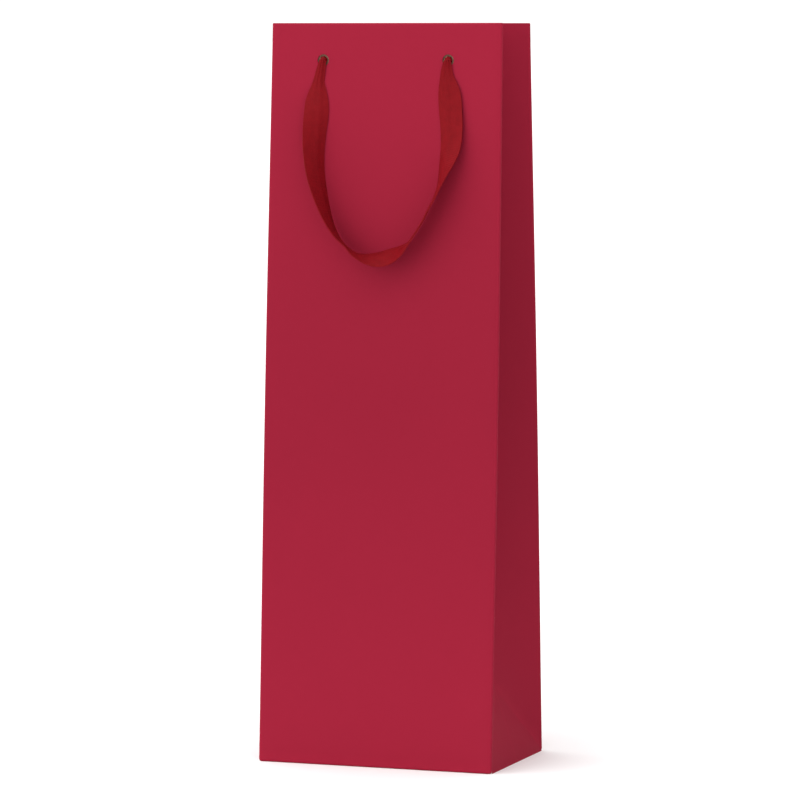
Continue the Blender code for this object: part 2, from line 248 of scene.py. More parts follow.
def laminated_paper():
    """Art paper, printed solid and laminated with matt film, with a soft low gloss; its colour
    carries painted shade, darker at mid height and lighter towards the top and bottom.
    """
    name = "matt_laminated_art_paper"
    if name in bpy.data.materials:
        return bpy.data.materials[name]
    material, tree, shader = new_material(name)
    red = colours().paper_red
    place = add_node(tree, "ShaderNodeTexCoord").outputs["Object"]
    # Painted shade: the colour is darker through the sheet's middle height and lighter towards its
    # top and bottom, standing in for how the light falls there; slow random clouds in the print are
    # mixed in
    up = add_node(tree, "ShaderNodeSeparateXYZ", {"Vector": place}).outputs["Z"]
    ends = add_node(
        tree, "ShaderNodeMath", {0: up, 1: RIM * 0.5}, operation="SUBTRACT"
    )
    away = add_node(tree, "ShaderNodeMath", {0: ends.outputs[0]}, operation="ABSOLUTE")
    # Painted light: 0 at mid height, rising to 1 at the rim and at the base, so the sheet is
    # painted darker through its middle
    painted_light_at_ends = add_node(
        tree,
        "ShaderNodeMapRange",
        {"Value": away.outputs[0], "From Min": 0.0, "From Max": RIM * 0.5},
        interpolation_type="SMOOTHSTEP",
    )
    clouds = add_node(
        tree, "ShaderNodeTexNoise", {"Vector": place, "Scale": 1 / (60 * MM), "Detail": 2.0}
    )
    clouds_and_painted_light = add_node(
        tree,
        "ShaderNodeMath",
        {0: clouds.outputs["Fac"], 1: 0.4, 2: painted_light_at_ends.outputs["Result"]},
        operation="MULTIPLY_ADD",
    )
    level = add_node(
        tree,
        "ShaderNodeMapRange",
        {"Value": clouds_and_painted_light.outputs[0], "From Min": 0.0, "From Max": 1.4},
    )
    # Mixes the random clouds with the painted shade by height: darker red at mid height, lighter
    # near the rim and the base
    tone = add_node(
        tree,
        "ShaderNodeMix",
        {"Factor": level.outputs["Result"], 6: shaded(red, 0.92), 7: shaded(red, 1.1)},
        data_type="RGBA",
    )
    # Film worn a little paler along the creases
    crease = add_node(tree, "ShaderNodeAttribute", attribute_name="crease")
    wear_break = add_node(
        tree, "ShaderNodeTexNoise", {"Vector": place, "Scale": 1 / (3 * MM), "Detail": 4.0}
    )
    wear = add_node(
        tree,
        "ShaderNodeMath",
        {0: crease.outputs["Fac"], 1: wear_break.outputs["Fac"]},
        operation="MULTIPLY",
    )
    worn = add_node(
        tree,
        "ShaderNodeMix",
        {"Factor": wear.outputs[0], 6: tone.outputs[2], 7: shaded(red, 1.45)},
        data_type="RGBA",
    )
    tree.links.new(worn.outputs[2], shader.inputs["Base Color"])
    # Film gloss: a matt film scatters, and rubs up slightly in patches
    rub = add_node(
        tree, "ShaderNodeTexNoise", {"Vector": place, "Scale": 1 / (18 * MM), "Detail": 5.0}
    )
    gloss = add_node(
        tree,
        "ShaderNodeMapRange",
        {"Value": rub.outputs["Fac"], "To Min": 0.58, "To Max": 0.68},
    )
    tree.links.new(gloss.outputs["Result"], shader.inputs["Roughness"])
    # Fibre under the film, 0.6 mm, and the sheet's cockle, 7 mm
    fibre = add_node(
        tree, "ShaderNodeTexNoise", {"Vector": place, "Scale": 1 / (0.6 * MM), "Detail": 2.0}
    )
    cockle = add_node(
        tree, "ShaderNodeTexNoise", {"Vector": place, "Scale": 1 / (7 * MM), "Detail": 2.0}
    )
    fine = add_node(
        tree,
        "ShaderNodeBump",
        {"Height": fibre.outputs["Fac"], "Strength": 0.12, "Distance": 0.05 * MM},
    )
    slow = add_node(
        tree,
        "ShaderNodeBump",
        {
            "Height": cockle.outputs["Fac"],
            "Strength": 0.25,
            "Distance": 0.12 * MM,
            "Normal": fine.outputs["Normal"],
        },
    )
    tree.links.new(slow.outputs["Normal"], shader.inputs["Normal"])
    shader.inputs["IOR"].default_value = 1.49
    shader.inputs["Specular IOR Level"].default_value = 0.03
    return material


def fibre_stock(name, base, fleck, fleck_size, roughness):
    """Uncoated paper or board: dull, with flecks of fibre."""
    if name in bpy.data.materials:
        return bpy.data.materials[name]
    material, tree, shader = new_material(name)
    place = add_node(tree, "ShaderNodeTexCoord").outputs["Object"]
    flecks = add_node(
        tree, "ShaderNodeTexNoise", {"Vector": place, "Scale": 1 / fleck_size, "Detail": 6.0}
    )
    sharper = add_node(
        tree,
        "ShaderNodeMapRange",
        {"Value": flecks.outputs["Fac"], "From Min": 0.42, "From Max": 0.68},
    )
    tone = add_node(
        tree,
        "ShaderNodeMix",
        {"Factor": sharper.outputs["Result"], 6: shaded(base, 1.0), 7: shaded(base, fleck)},
        data_type="RGBA",
    )
    tree.links.new(tone.outputs[2], shader.inputs["Base Color"])
    tooth = add_node(
        tree,
        "ShaderNodeBump",
        {"Height": flecks.outputs["Fac"], "Strength": 0.3, "Distance": 0.06 * MM},
    )
    tree.links.new(tooth.outputs["Normal"], shader.inputs["Normal"])
    shader.inputs["Roughness"].default_value = roughness
    shader.inputs["IOR"].default_value = 1.5
    shader.inputs["Specular IOR Level"].default_value = 0.25
    return material


def paper_back():
    """Uncoated back of the art paper: white, dull, with a faint cloudy formation."""
    return fibre_stock("uncoated_paper_back", colours().paper_back, 0.94, 2.5 * MM, 0.85)


def greyboard():
    """Recycled greyboard: brown-grey with pale and dark flecks, fully matt."""
    return fibre_stock("recycled_greyboard", colours().greyboard, 0.6, 0.8 * MM, 0.92)


def white_card():
    """White-lined chipboard: smooth pale face, barely flecked."""
    return fibre_stock("white_lined_chipboard", colours().base_card, 0.95, 1.5 * MM, 0.7)


def wave_scale(spacing):
    """The scale that gives a Wave texture one band for each spacing."""
    return 2 * math.pi / 20 / spacing


def woven_ribbon():
    """Polyester ribbon in a fine plain weave: ribs across, a silky sheen at grazing angles."""
    name = "woven_polyester_ribbon"
    if name in bpy.data.materials:
        return bpy.data.materials[name]
    material, tree, shader = new_material(name)
    red = colours().ribbon_red
    woven = add_node(tree, "ShaderNodeUVMap", uv_map="weave").outputs["UV"]
    # Weft ribs lie 0.5 mm apart and warp threads 0.4 mm, about twice the real count, so
    # that they still show
    weft = add_node(
        tree,
        "ShaderNodeTexWave",
        {"Vector": woven, "Scale": wave_scale(0.5 * MM), "Distortion": 0.6, "Detail": 1.0},
        bands_direction="Y",
    )
    warp = add_node(
        tree,
        "ShaderNodeTexWave",
        {"Vector": woven, "Scale": wave_scale(0.4 * MM), "Distortion": 0.4, "Detail": 1.0},
        bands_direction="X",
    )
    crossing = add_node(
        tree,
        "ShaderNodeMath",
        {0: weft.outputs["Fac"], 1: warp.outputs["Fac"]},
        operation="MULTIPLY",
    )
    slubs = add_node(
        tree, "ShaderNodeTexNoise", {"Vector": woven, "Scale": 1 / (4 * MM), "Detail": 4.0}
    )
    thread = add_node(
        tree,
        "ShaderNodeMath",
        {0: crossing.outputs[0], 1: slubs.outputs["Fac"]},
        operation="ADD",
        use_clamp=True,
    )
    tone = add_node(
        tree,
        "ShaderNodeMix",
        {"Factor": thread.outputs[0], 6: shaded(red, 0.74), 7: shaded(red, 1.2)},
        data_type="RGBA",
    )
    tree.links.new(tone.outputs[2], shader.inputs["Base Color"])
    ribs = add_node(
        tree,
        "ShaderNodeBump",
        {"Height": crossing.outputs[0], "Strength": 0.55, "Distance": 0.12 * MM},
    )
    tree.links.new(ribs.outputs["Normal"], shader.inputs["Normal"])
    shader.inputs["Roughness"].default_value = 0.52
    shader.inputs["IOR"].default_value = 1.54
    shader.inputs["Specular IOR Level"].default_value = 0.05
    shader.inputs["Sheen Weight"].default_value = 0.01
    shader.inputs["Sheen Roughness"].default_value = 0.4
    shader.inputs["Sheen Tint"].default_value = shaded(linear("#D86A6A"), 1.0)
    return material


# Shapes shared by the pieces


def spread(start, stop, count):
    """Evenly placed numbers from start to stop, both included."""
    return [start + (stop - start) * i / (count - 1) for i in range(count)]


def eased(t):
    """A smooth step from 0 to 1."""
    t = min(max(t, 0.0), 1.0)
    return t * t * (3 - 2 * t)


def laid_grid(across, along, place, crease=None, weave=None):
    """A bmesh grid with each crossing laid where place says, and its crease wear stored.

    With weave, a width and a length, the grid also gets a UV map in metres for the cloth.
    """
    sheet = bmesh.new()
    columns, rows = len(across) - 1, len(along) - 1
    bmesh.ops.create_grid(sheet, x_segments=columns, y_segments=rows, size=0.5)
    worn = sheet.verts.layers.float.new("crease")
    if weave:
        cloth = sheet.loops.layers.uv.new("weave")
        for face in sheet.faces:
            for corner in face.loops:
                corner[cloth].uv = (
                    (corner.vert.co.x + 0.5) * weave[0],
                    (corner.vert.co.y + 0.5) * weave[1],
                )
    for vert in sheet.verts:
        u = across[round((vert.co.x + 0.5) * columns)]
        v = along[round((vert.co.y + 0.5) * rows)]
        vert[worn] = crease(u, v) if crease else 0.0
        vert.co = place(u, v)
    bmesh.ops.remove_doubles(sheet, verts=sheet.verts, dist=1e-6)
    return sheet


def face_outwards(sheet, outside):
    """Turns every face of an open sheet so that most of it looks along outside."""
    bmesh.ops.recalc_face_normals(sheet, faces=sheet.faces)
    sheet.normal_update()
    looking = sum((face.normal * face.calc_area() for face in sheet.faces), Vector())
    if looking.dot(Vector(outside)) < 0:
        bmesh.ops.reverse_faces(sheet, faces=sheet.faces)
    sheet.normal_update()


def thicken(sheet, thickness):
    """Gives an open sheet its thickness on its inner side, which takes the second finish."""
    printed = set(sheet.faces)
    bmesh.ops.solidify(sheet, geom=list(sheet.faces), thickness=thickness)
    sheet.normal_update()
    for face in sheet.faces:
        if face not in printed:
            face.material_index = 1


def shade_folded(mesh):
    """Smooth shading, with a sharp line where the surface turns over an edge."""
    mesh.shade_smooth()
    mesh.set_sharp_from_angle(angle=SHARP_TURN)


def finished(name, builder, finishes, turn=None):
    """Makes the object, with its place in its mesh."""
    if turn is not None:
        bmesh.ops.transform(builder, matrix=turn, verts=builder.verts)
    mesh = bpy.data.meshes.new(name)
    builder.to_mesh(mesh)
    builder.free()
    for finish in finishes:
        mesh.materials.append(finish)
    shade_folded(mesh)
    piece = bpy.data.objects.new(name, mesh)
    bpy.context.scene.collection.objects.link(piece)
    return piece


def cut_by(piece, cutter):
    """Cuts a piece with a cutter and keeps the result as its mesh."""
    cut = piece.modifiers.new("punch", "BOOLEAN")
    cut.operation = "DIFFERENCE"
    cut.solver = "EXACT"
    cut.object = cutter
    evaluated = piece.evaluated_get(bpy.context.evaluated_depsgraph_get())
    mesh = bpy.data.meshes.new_from_object(evaluated)
    piece.modifiers.clear()
    old = piece.data
    piece.data = mesh
    bpy.data.meshes.remove(old)
    mesh.name = piece.name
    bpy.data.objects.remove(cutter)


def half_width(height):
    """Half a wall's width at a height, with its creases' slight bow."""
    settings = sizes()
    share = height / RIM
    straight = HALF_WIDTH + (settings.rim_width / 2 - HALF_WIDTH) * share
    return straight + settings.corner_bow * math.sin(math.pi * share) ** 1.5


def wall_y(height):
    """The front wall's outer face at a height, at its corner creases."""
    return -HALF_DEPTH + SLOPE * height


# A wall's waves die out over these runs, from its corner creases, its base and its rim
CALM_SIDE = 22 * MM
CALM_FOOT = 40 * MM
CALM_RIM = 45 * MM
WAVE_ACROSS = 22  # noise cells for each metre, across and up a wall
WAVE_UP = 11
WAVE_GAIN = 1.6
WAVE_HOLLOW = 0.35  # share of the waviness by which a wall falls in on the whole


def wall_wave(x, height):
    """How far the front wall stands out from its flat plane: slow waves that die at its edges."""
    calm_sides = eased((half_width(height) - abs(x)) / CALM_SIDE)
    calm_ends = eased(height / CALM_FOOT) * eased((RIM - height) / CALM_RIM)
    wave = noise.noise(Vector((x * WAVE_ACROSS, height * WAVE_UP, 3.7)))
    return (wave * WAVE_GAIN - WAVE_HOLLOW) * sizes().waviness * calm_sides * calm_ends


def crease_point(height):
    """The right gusset's middle crease at a height."""
    half = HALF_DEPTH - SLOPE * height
    depth = math.sqrt(max(HALF_DEPTH**2 - half**2, 0.0))
    return Vector((half_width(height) - depth, 0.0, height))


def foot_apex():
    """The point where a gusset's three creases meet, 45 degrees up from the base corners."""
    height = HALF_DEPTH * (math.cos(LEAN) - math.cos(FOOT_FOLD) * math.sin(LEAN))
    return crease_point(height)


def corner_turn(height):
    """Angle between the front wall and the right gusset, seen from above."""
    target = crease_point(max(height, foot_apex().z))
    return math.atan2(target.y - wall_y(height), half_width(height) - target.x)


def corner_arc(height, share):
    """A point on the rounded right front crease: share 0 on the wall, 1 on the gusset."""
    radius = sizes().fold_radius
    end = math.pi / 2 - corner_turn(height)
    angle = -math.pi / 2 + (end + math.pi / 2) * share
    x = half_width(height) - radius + radius * math.cos(angle)
    y = wall_y(height) + radius + radius * math.sin(angle)
    return Vector((x, y, height)), Vector((math.cos(angle), math.sin(angle), 0))


# Walls

ARC_SHARES = spread(0, 1, 7)
PANEL_COLUMNS = 44
HEM_RISE_RUN = 8 * MM  # from a corner crease to where the hem lies over the board
PUNCH_LENGTH = 24 * MM


def wall_columns():
    """Names each column of a wall: which stretch it is in, and where in it."""
    left = [("left", share) for share in reversed(ARC_SHARES)]
    middle = [("panel", share) for share in spread(-1, 1, PANEL_COLUMNS + 1)[1:-1]]
    right = [("right", share) for share in ARC_SHARES]
    return left + middle + right


def wall_rows():
    """Heights up the wall, the turn over the rim, and the hem down its inner side."""
    base = [("base", share) for share in spread(0, 1, 5)]
    rise = [("rise", share) for share in spread(0, 1, 80)[1:]]
    over = [("over", share) for share in spread(0, 1, 9)[1:]]
    hem = [("hem", share) for share in spread(0, 1, 9)[1:]]
    return base + rise + over + hem


def wall_surface(column, height):
    """A point on the wall's outer face and its outward direction."""
    part, share = column
    if part != "panel":
        point, outward = corner_arc(height, share)
        sign = -1 if part == "left" else 1
        return Vector((sign * point.x, point.y, point.z)), Vector((sign * outward.x, outward.y, 0))
    reach = half_width(height) - sizes().fold_radius
    x = share * reach
    return Vector((x, wall_y(height) - wall_wave(x, height), height)), Vector((0, -1, 0))


def rim_depth(column):
    """How far the hem lies behind the outer face, over the column's place."""
    part, share = column
    settings = sizes()
    if part != "panel":
        return settings.gusset_stack
    to_corner = (1 - abs(share)) * settings.rim_width / 2
    grown = eased(to_corner / HEM_RISE_RUN)
    return settings.gusset_stack + (settings.rim_stack - settings.gusset_stack) * grown


def wall_point(column, row):
    """Where one crossing of the wall's grid lies."""
    stage, share = row
    settings = sizes()
    radius = settings.fold_radius
    depth = rim_depth(column)
    round_top = depth / 2
    if stage == "base":
        point, outward = wall_surface(column, radius)
        angle = math.pi / 2 * (1 - share)
        return point - outward * radius * (1 - math.cos(angle)) + Vector(
            (0, 0, -radius * math.sin(angle))
        )
    if stage == "rise":
        return wall_surface(column, radius + (RIM - round_top - radius) * share)[0]
    point, outward = wall_surface(column, RIM - round_top)
    if stage == "over":
        angle = math.pi * share
        lift = Vector((0, 0, math.sin(angle) * round_top))
        return point - outward * round_top * (1 - math.cos(angle)) + lift
    drop = settings.hem_depth * share
    low, outward = wall_surface(column, RIM - round_top - drop)
    return low - outward * depth


def wall_wear(column, row):
    """Wear of the film: along the corner creases, the base fold and the rim."""
    part, share = column
    stage, along = row
    wear = 0.35 if part != "panel" and 0.15 < share < 0.95 else 0.0
    if stage == "over":
        wear = max(wear, 0.4 * math.sin(math.pi * along))
    if stage == "base":
        wear = max(wear, 0.45)
    return wear


def punch_rods(radius):
    """One object with a rod through each handle hole of the front wall."""
    rods = bmesh.new()
    for side in (-1, 1):
        place = Matrix.Translation((side * sizes().hole_spacing / 2, SWING_AXIS.y, SWING_AXIS.z))
        lie = Matrix.Rotation(math.pi / 2 - LEAN, 4, "X")
        bmesh.ops.create_cone(
            rods, cap_ends=True, segments=40, radius1=radius, radius2=radius,
            depth=PUNCH_LENGTH, matrix=place @ lie,
        )
    return rods


def make_wall(word, turn):
    """One paper wall: panel, rounded creases, turned rim and hem, with its holes."""
    sheet = laid_grid(wall_columns(), wall_rows(), wall_point, wall_wear)
    face_outwards(sheet, (0, -1, 0))
    thicken(sheet, sizes().paper)
    piece = finished(f"{word}_paper_wall", sheet, (laminated_paper(), paper_back()))
    rods = punch_rods(sizes().paper_hole / 2)
    cutter = finished(f"{word}_punch", rods, ())
    cut_by(piece, cutter)
    piece.data.transform(turn)
    shade_folded(piece.data)
    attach(piece, f"{word}_wall")
    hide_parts(f"{word}_panel", f"{word}_top_hem")
    return piece


class GIFTBAG_OT_walls(bpy.types.Operator):
    """Build the front and back walls with their turned-in tops"""

    bl_idname = "gift_bag.walls"
    bl_label = "Paper Walls"

    def execute(self, context):
        make_wall("front", Matrix.Identity(4))
        make_wall("back", BACK)
        frame["nodes"]["glue_seam_flap"].data.materials.clear()
        frame["nodes"]["glue_seam_flap"].data.materials.append(paper_back())
        return {"FINISHED"}


# Gussets

GUSSET_COLUMNS = [0, 0.03, 0.07, 0.14, 0.22, 0.32, 0.42, 0.52, 0.62, 0.72, 0.82, 0.9, 0.96, 1]


def gusset_rows():
    """The foot triangle, the long half above it, the turn over the rim, and the hem."""
    foot = [("foot", share) for share in spread(0, 1, 9)[:-1]]
    rise = [("rise", share) for share in spread(0, 1, 60)]
    over = [("over", share) for share in spread(0, 1, 7)[1:]]
    hem = [("hem", share) for share in spread(0, 1, 7)[1:]]
    return foot + rise + over + hem


def gusset_ruling(across, rise, drop=0.0):
    """A point of the right front gusset half, on the straight line from fold to crease."""
    radius = sizes().fold_radius
    top = RIM - sizes().gusset_stack / 2 - drop
    fold = corner_arc(radius + (top - radius) * rise, 1.0)[0]
    apex = foot_apex()
    crease = crease_point(apex.z + (top - apex.z) * rise)
    return fold.lerp(crease, across)


def gusset_inward(across):
    """Direction from a gusset half's outer face into the bag, near the rim."""
    fold = corner_arc(RIM, 1.0)[0]
    crease = crease_point(RIM)
    level = Vector((crease.y - fold.y, crease.x - fold.x, 0)).normalized()
    inward = Vector((-level.x, level.y, 0))
    if across < 1:
        return inward
    return Vector((-1 / abs(inward.x), 0, 0))


BELLY_LEAN = 1.15  # above 1, the bow sits lower and ends before the rim
BELLY_GAIN = 1.6  # height of the gusset's waves, against the walls' waviness


def gusset_belly(across, rise):
    """Paper's spring: the long half bows a little between its creases."""
    hump = math.sin(math.pi * across) * math.sin(math.pi * min(rise * BELLY_LEAN, 1.0))
    wave = noise.noise(Vector((across * 1.7, rise * 5.0, 9.1)))
    return (0.5 + wave) * sizes().waviness * BELLY_GAIN * hump


def gusset_point(across, row):
    """Where one crossing of the right front gusset sheet lies."""
    stage, share = row
    stack = sizes().gusset_stack
    if stage == "foot":
        diagonal = gusset_ruling(across, 0.0)
        low = Vector((half_width(0), diagonal.y, 0.0))
        return low.lerp(diagonal, share)
    if stage == "rise":
        return gusset_ruling(across, share) + gusset_inward(0.5) * gusset_belly(across, share)
    if stage == "over":
        angle = math.pi * share
        lift = Vector((0, 0, math.sin(angle) * stack / 2))
        turned = gusset_inward(across) * stack / 2 * (1 - math.cos(angle))
        return gusset_ruling(across, 1.0) + turned + lift
    drop = sizes().hem_depth * share
    return gusset_ruling(across, 1.0, drop) + gusset_inward(across) * stack


def gusset_wear(across, row):
    """Wear of the film: along the middle crease, the foot creases and the rim."""
    stage, share = row
    wear = 0.3 if across > 0.97 else 0.0
    if stage == "rise" and share == 0.0:
        wear = max(wear, 0.35)
    if stage == "over":
        wear = max(wear, 0.4 * math.sin(math.pi * share))
    return wear


def print_crease_edge(sheet):
    """Gives the edge where a gusset's two halves meet the print, as the real fold has no edge."""
    for face in sheet.faces:
        if all(abs(vert.co.y) <= sizes().paper for vert in face.verts):
            face.material_index = 0


class GIFTBAG_OT_gussets(bpy.types.Operator):
    """Build the folded side gussets, each as a front and a back half"""

    bl_idname = "gift_bag.gussets"
    bl_label = "Side Gussets"

    def execute(self, context):
        mirror_x = Matrix.Scale(-1, 4, (1, 0, 0))
        mirror_y = Matrix.Scale(-1, 4, (0, 1, 0))
        for hand, across in (("left", mirror_x), ("right", Matrix.Identity(4))):
            for word, along in (("front", Matrix.Identity(4)), ("back", mirror_y)):
                sheet = laid_grid(GUSSET_COLUMNS, gusset_rows(), gusset_point, gusset_wear)
                bmesh.ops.transform(sheet, matrix=across @ along, verts=sheet.verts)
                face_outwards(sheet, (-1 if hand == "left" else 1, 0, 0))
                thicken(sheet, sizes().paper)
                print_crease_edge(sheet)
                finishes = (laminated_paper(), paper_back())
                piece = finished(f"{hand}_{word}_gusset_paper", sheet, finishes)
                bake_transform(piece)
                node = f"{hand}_gusset_{word}"
                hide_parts(node, f"{node}_hem")
                if word == "front":
                    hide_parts(f"{hand}_gusset_foot")
        return {"FINISHED"}


# Base

FLAP_INSET = 0.3 * MM  # from a long flap's ends to the side creases
FLAP_TAPER = 3 * MM  # how much further in its ends are, away from its own crease
FLAP_TAPER_RUN = 50 * MM
FLAP_CLIMB_RUN = 4 * MM  # over which the inner flap climbs onto the outer one
FLAP_LAP_LEAD = 5 * MM  # how far before the outer flap's edge the climb starts


def flap_point(side, level, rise_at):
    """A place function for a long base flap that climbs over the other flap's edge."""

    def place(u, v):
        y = side * (-HALF_DEPTH + sizes().fold_radius) + side * v
        climb = eased((v - rise_at) / FLAP_CLIMB_RUN) if rise_at is not None else 0.0
        x = u * (HALF_WIDTH - FLAP_INSET - FLAP_TAPER * eased(v / FLAP_TAPER_RUN))
        return Vector((x, y, level * climb))

    return place


class GIFTBAG_OT_base(bpy.types.Operator):
    """Build the folded base flaps and finish the loose base card"""

    bl_idname = "gift_bag.base"
    bl_label = "Base Flaps and Card"

    def execute(self, context):
        outer_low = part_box("outer_base_flap")[0]
        inner_low, inner_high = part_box("inner_base_flap")
        outer_reach = HALF_DEPTH - outer_low.y
        inner_reach = HALF_DEPTH + inner_high.y
        lap_start = HALF_DEPTH + outer_low.y - FLAP_LAP_LEAD
        flaps = (
            ("outer_flap_paper", "outer_base_flap", -1, outer_reach, 0.0, None),
            ("inner_flap_paper", "inner_base_flap", 1, inner_reach, inner_low.z, lap_start),
        )
        for name, node, side, reach, level, rise_at in flaps:
            place = flap_point(side, level, rise_at)
            sheet = laid_grid(spread(-1, 1, 25), spread(0, reach, 40), place)
            face_outwards(sheet, (0, 0, -1))
            thicken(sheet, sizes().paper)
            piece = finished(name, sheet, (laminated_paper(), paper_back()))
            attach(piece, "base")
            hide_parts(node)
        for hand in ("left", "right"):
            node = frame["nodes"][f"{hand}_end_flap"]
            node.data.materials.clear()
            node.data.materials.append(paper_back())
        card = frame["nodes"]["base_card"]
        card.data.materials.clear()
        card.data.materials.append(white_card())
        for word in ("front", "back"):
            board = frame["nodes"][f"{word}_stiffener"]
            board.data.materials.clear()
            board.data.materials.append(greyboard())
        return {"FINISHED"}


# Ribbon handles


DROOP = 0.05  # the ribbon's middle nears the wall by this share of its way down
BUNCHED_SHARE = 0.3  # the share of its width at which the ribbon is fully bunched
PLEAT = 0.22 * MM  # height of the bunched ribbon's pleats
FOLD = 0.55 * MM  # depth of the long fold pressed into the open ribbon
FOLD_PLACE = -0.25  # where that fold runs, from -1 to 1 across the ribbon
FOLD_SPREAD = 0.22
ROUTE_STEP = 1e-3  # used to find the route's direction


def catmull(a, b, c, d, t):
    """One value between b and c on a smooth curve through four values."""
    return 0.5 * (
        2 * b + (c - a) * t + (2 * a - 5 * b + 4 * c - d) * t**2 + (3 * b - a - 3 * c + d) * t**3
    )


def along_handle(t):
    """Across, down, turn and opening of the handle at t, from 0 at one hole to 1."""
    padded = [HANDLE_ROUTE[0], *HANDLE_ROUTE, HANDLE_ROUTE[-1]]
    reach = t * (len(HANDLE_ROUTE) - 1)
    index = min(int(reach), len(HANDLE_ROUTE) - 2)
    return [catmull(*values, reach - index) for values in zip(*padded[index : index + 4])]


def handle_frame(t):
    """The ribbon's middle, width direction and thickness direction at t, at rest."""
    before = along_handle(max(t - ROUTE_STEP, 0))
    after = along_handle(min(t + ROUTE_STEP, 1))
    across, down, turn, opened = along_handle(t)
    tangent = Vector((after[0] - before[0], 0, before[1] - after[1])).normalized()
    out = Vector((0, -1, 0))
    inside = out.cross(tangent).normalized()
    angle = math.radians(turn)
    wide = inside * math.cos(angle) + out * math.sin(angle)
    half = sizes().ribbon_width * opened / 2
    swing_out = -SWING_AXIS.y + wall_y(SWING_AXIS.z)
    stand = max(sizes().ribbon_stand + half * math.sin(angle), swing_out - down * MM * DROOP)
    centre = Vector((across * MM, swing_out - stand, -down * MM))
    to_world = Matrix.Translation(SWING_AXIS) @ Matrix.Rotation(-LEAN, 4, "X")
    turn_only = to_world.to_3x3()
    thick = tangent.cross(wide).normalized()
    return to_world @ centre, turn_only @ wide, turn_only @ thick, half


def ribbon_corner(u, t):
    """A point on the ribbon's middle surface: u from -1 to 1 across its width."""
    centre, wide, thick, half = handle_frame(t)
    opened = half * 2 / sizes().ribbon_width
    bunched = 1 - eased((opened - BUNCHED_SHARE) / (1 - BUNCHED_SHARE))
    free = math.sin(math.pi * t)
    cup = sizes().ribbon_cup * (0.3 + 0.9 * bunched) * (u * u - 0.5)
    pleats = PLEAT * bunched * math.cos(3 * math.pi * u)
    pressed = math.exp(-(((u - FOLD_PLACE) / FOLD_SPREAD) ** 2))
    fold = FOLD * (1 - bunched) * (1 - 0.8 * free) * pressed
    return centre + wide * half * u + thick * (cup + pleats - fold)


class GIFTBAG_OT_handles(bpy.types.Operator):
    """Build the two woven ribbon loops that hang from the holes"""

    bl_idname = "gift_bag.handles"
    bl_label = "Ribbon Handles"

    def execute(self, context):
        rows = spread(0, 1, 261)
        for word, turn in (("front", Matrix.Identity(4)), ("back", BACK)):
            weave = (sizes().ribbon_width, HANDLE_LENGTH)
            band = laid_grid(spread(-1, 1, 15), rows, ribbon_corner, weave=weave)
            face_outwards(band, (0, -1, 0))
            bmesh.ops.solidify(band, geom=list(band.faces), thickness=sizes().ribbon)
            piece = finished(f"{word}_woven_ribbon", band, (woven_ribbon(),), turn)
            path = [turn @ handle_frame(t)[0] for t in spread(0, 1, 40)]
            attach(piece, f"{word}_handle")
            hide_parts(f"{word}_ribbon_loop")
            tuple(path[0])
        return {"FINISHED"}


# Knots. A knot is drawn in its hole's frame: +Y leads into the bag.

NECK_START = 1.6 * MM  # how far outside the wall the bunched neck begins
NECK_REACH = 2.2 * MM  # how far it goes on past the hem, into the knot
NECK_FLUTES = 7
NECK_FLUTE_DEPTH = 0.14
NECK_ROUNDING = 0.3  # the share of its length over which its outer end is rounded
NECK_FILL = 0.94  # the neck's mean radius as a share of half its set diameter
TREFOIL_REACH = 4.3  # about the knot's half width, strand included, in its formula's units
KNOT_STAND = 2.6 * MM  # the knot's middle, in from the hem's face
KNOT_RISE = 0.95 * MM  # how far its strands pass over and under each other
STRAND_WIDE = 1.55 * MM
STRAND_THICK = 1.2 * MM
STRAND_LOBES = 5
TAIL_STAND = 3.0 * MM  # where the tail starts, in from the hem's face
TAIL_DROP = Vector((1.2, 1.3, -7.5)) * MM  # the way from the tail's start to its cut end
TAIL_TOP = -2.5 * MM
TAIL_HALF_WIDTH = 1.5 * MM
TAIL_SPREAD = 2.6 * MM  # how much wider each side is at the cut end
TAIL_THICK = 0.55 * MM
TAIL_CURL = 0.5 * MM


def rounded_tube(sides, stations, centre, section):
    """A closed tube: centre gives each station's middle, section its ring's offsets."""

    def place(around, along):
        return centre(along) + section(2 * math.pi * around, along)

    tube = laid_grid(
        spread(0, 1, sides + 1), stations, place, weave=(sizes().ribbon_width, 40 * MM)
    )
    bmesh.ops.recalc_face_normals(tube, faces=tube.faces)
    return tube


def neck_centre(v):
    """The bunched neck's middle in the hole's frame, from the wall's outer side inwards."""
    reach = sizes().rim_stack + NECK_REACH
    return Vector((0, -NECK_START + (reach + NECK_START) * v, 0))


def neck_section(angle, v):
    """The neck's fluted ring, rounded over to a point at its outer end."""
    flutes = 1 + NECK_FLUTE_DEPTH * math.cos(NECK_FLUTES * angle)
    rounding = min(v / NECK_ROUNDING, 1.0)
    opened = math.sqrt(rounding * (2 - rounding))
    radius = sizes().neck / 2 * NECK_FILL * opened * flutes
    return Vector((math.cos(angle), 0, math.sin(angle))) * radius


def knot_centre(v):
    """The overhand knot's path: a trefoil, flattened against the hem."""
    t = 2 * math.pi * v
    spread_out = sizes().knot / 2 / TREFOIL_REACH
    return Vector(
        (
            (math.sin(t) + 2 * math.sin(2 * t)) * spread_out,
            sizes().rim_stack + KNOT_STAND - math.sin(3 * t) * KNOT_RISE,
            (math.cos(t) - 2 * math.cos(2 * t)) * spread_out,
        )
    )


def knot_section(angle, v):
    """The folded ribbon's lobed ring in the knot, square to its path."""
    ahead = (knot_centre(v + ROUTE_STEP) - knot_centre(v - ROUTE_STEP)).normalized()
    flat = ahead.cross(Vector((0, 1, 0))).normalized()
    up = flat.cross(ahead).normalized()
    lobes = 1 + 0.1 * math.cos(STRAND_LOBES * angle)
    return (flat * math.cos(angle) * STRAND_WIDE + up * math.sin(angle) * STRAND_THICK) * lobes


def tail_centre(v):
    """The cut end of the ribbon, hanging from the knot."""
    start = Vector((0, sizes().rim_stack + TAIL_STAND, TAIL_TOP))
    return start + TAIL_DROP * v


